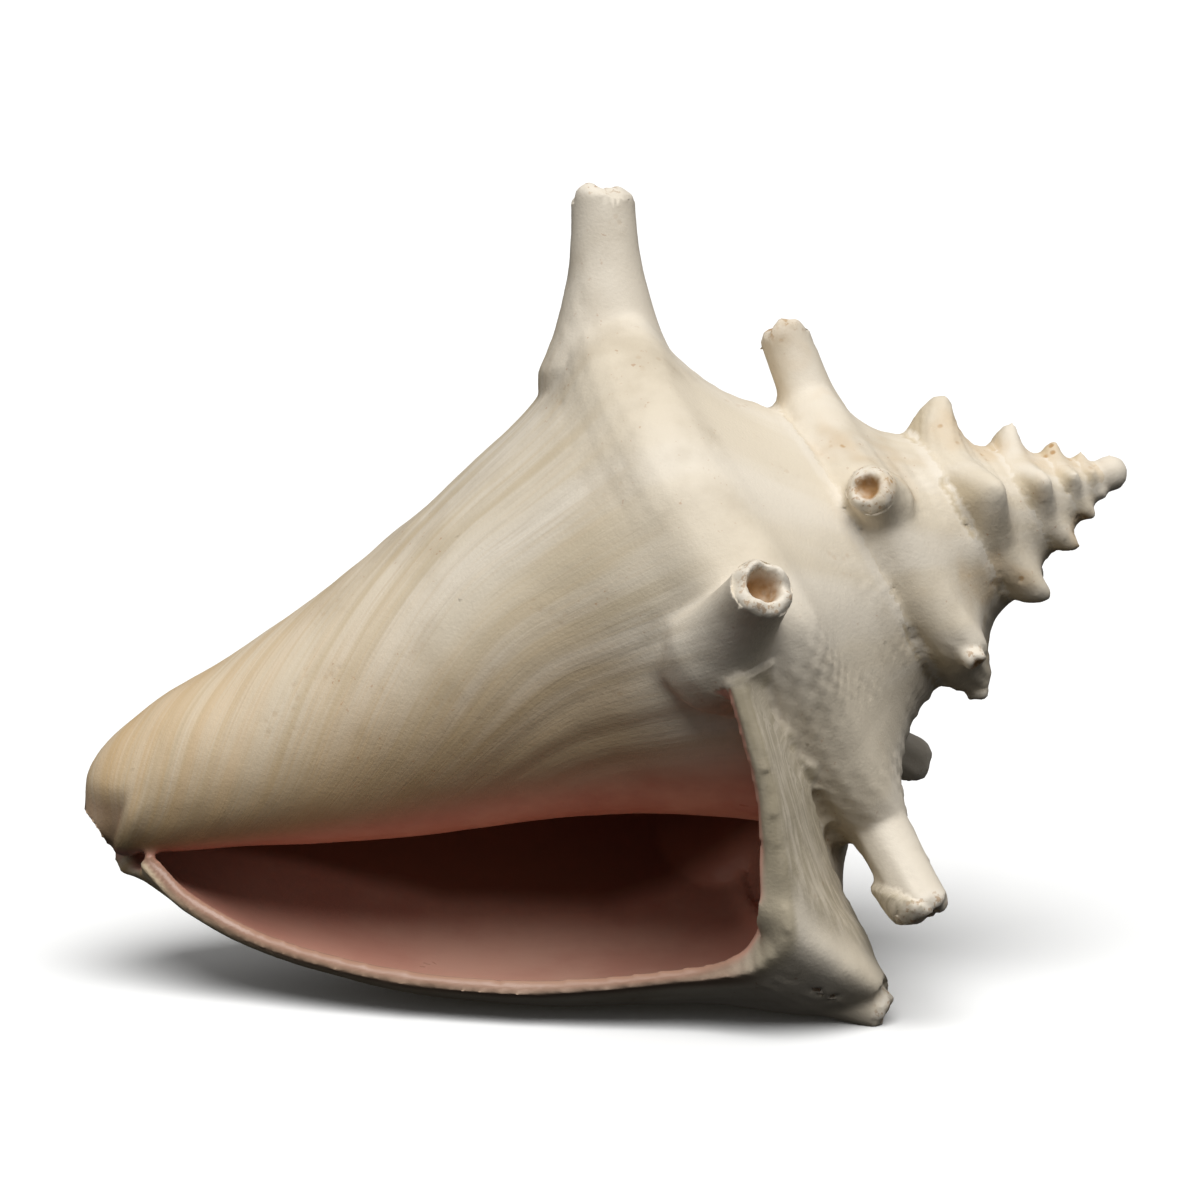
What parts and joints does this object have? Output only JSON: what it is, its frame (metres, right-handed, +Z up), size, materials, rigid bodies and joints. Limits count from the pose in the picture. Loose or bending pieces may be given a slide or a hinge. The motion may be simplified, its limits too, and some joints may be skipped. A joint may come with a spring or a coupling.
{
  "type": "conch shell",
  "caption": "Dextral conch shell lying on its side: cone of whorls with blunt shoulder spines, a large open mouth under a thin flared lip, and a drawn-out front end.",
  "frame": {"origin": "middle of the footprint of the bounding box, on the surface that the shell rests on", "axes": "+Z up; the apex points along +X and slightly up, the front end along -X, and the mouth opens towards -Y and down"},
  "size_m": [0.2188, 0.1681, 0.167],
  "materials": {
    "shell": "satin, chalky outside and glazed inside the mouth"
  },
  "bodies": {
    "root": {"conch_shell": "shell"}
  },
  "joints": []
}
